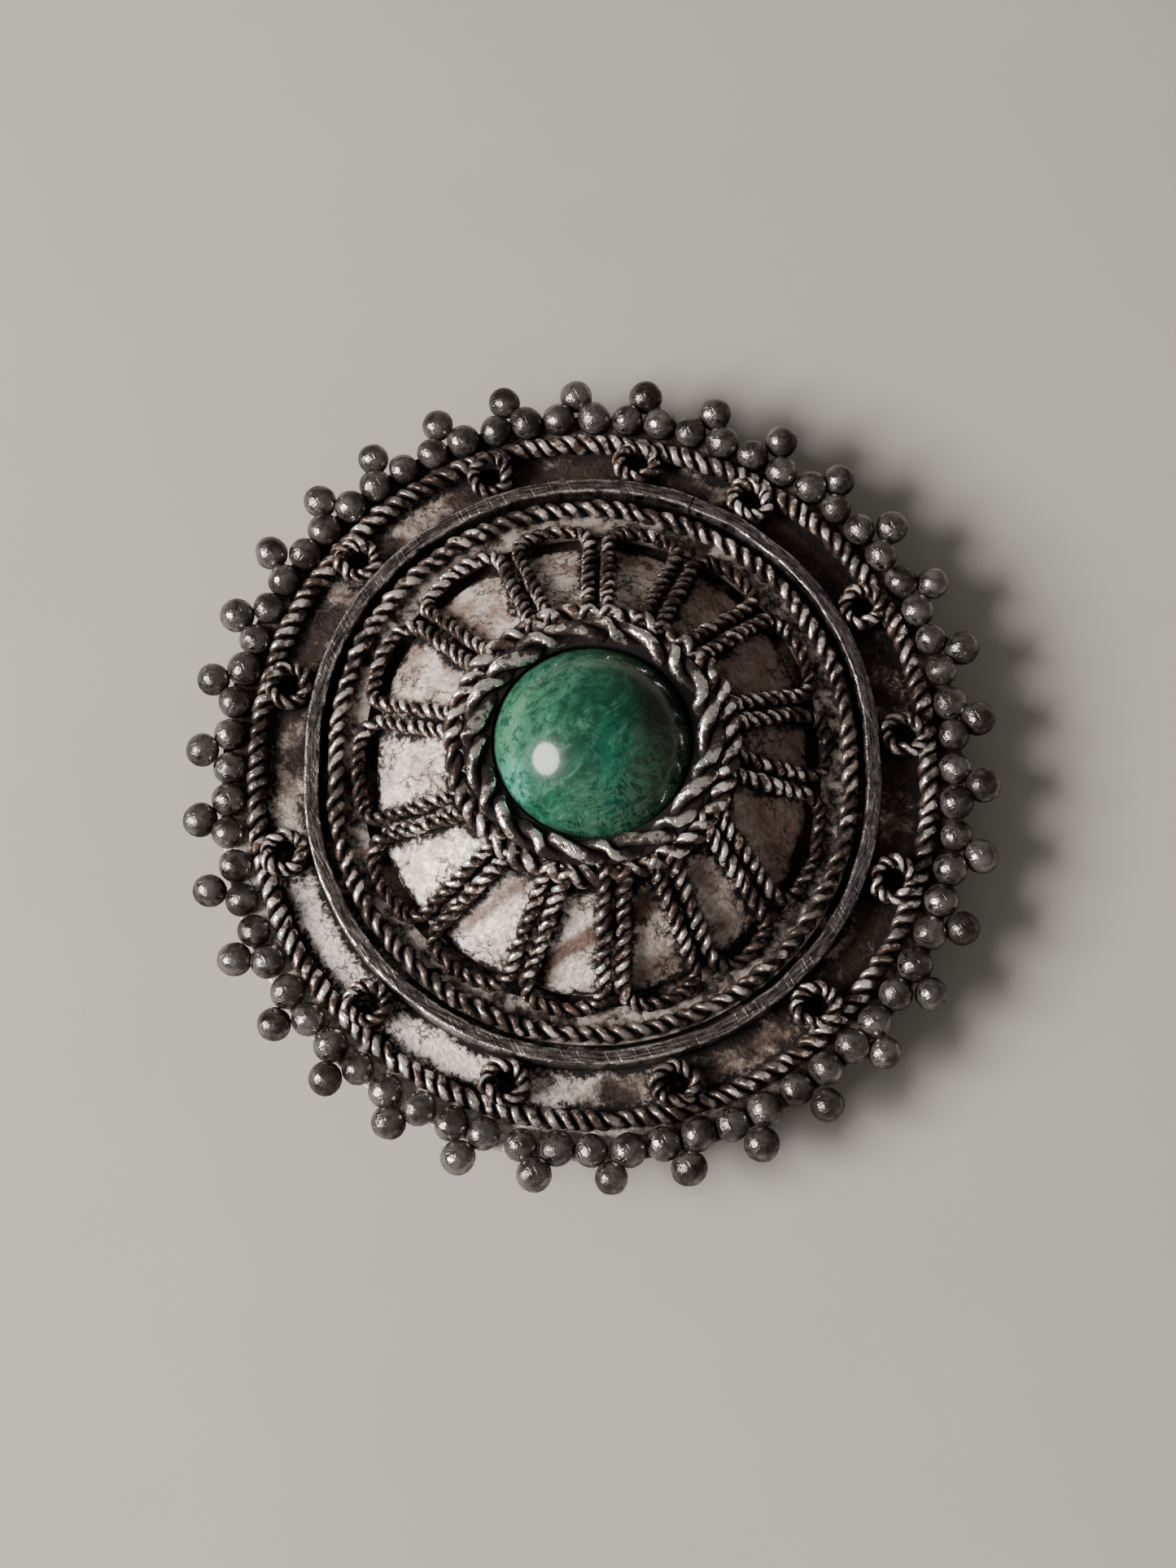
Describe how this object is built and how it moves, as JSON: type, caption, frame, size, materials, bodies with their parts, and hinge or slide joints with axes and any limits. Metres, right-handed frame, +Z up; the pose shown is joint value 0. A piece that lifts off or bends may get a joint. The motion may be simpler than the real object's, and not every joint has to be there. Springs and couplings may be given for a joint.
{
  "type": "eilat stone brooch",
  "caption": "Oval silver brooch with a granulated rim, small twisted wire rings, a plain collar and a petalled dome of twisted wire round a domed green stone.",
  "frame": {"origin": "on the surface that the brooch lies on, under the middle of its bounding box and of the stone", "axes": "+Z up out of the front of the brooch, +X along the pin to its point, +Y to the top of the brooch"},
  "size_m": [0.0448, 0.0468, 0.0124],
  "materials": {
    "dark_silver": "hand-worked silver, blackened in the hollows and rubbed bright on the high places",
    "bright_silver": "silver rubbed bright on twisted wires over blackened hollows",
    "green_stone": "polished mottled green stone with dark inclusions",
    "pin_silver": "plain silver, lightly tarnished"
  },
  "bodies": {
    "root": {"border_frame": "dark_silver", "petal_setting": "bright_silver", "eilat_stone": "green_stone", "pin_back": "pin_silver"}
  },
  "joints": []
}
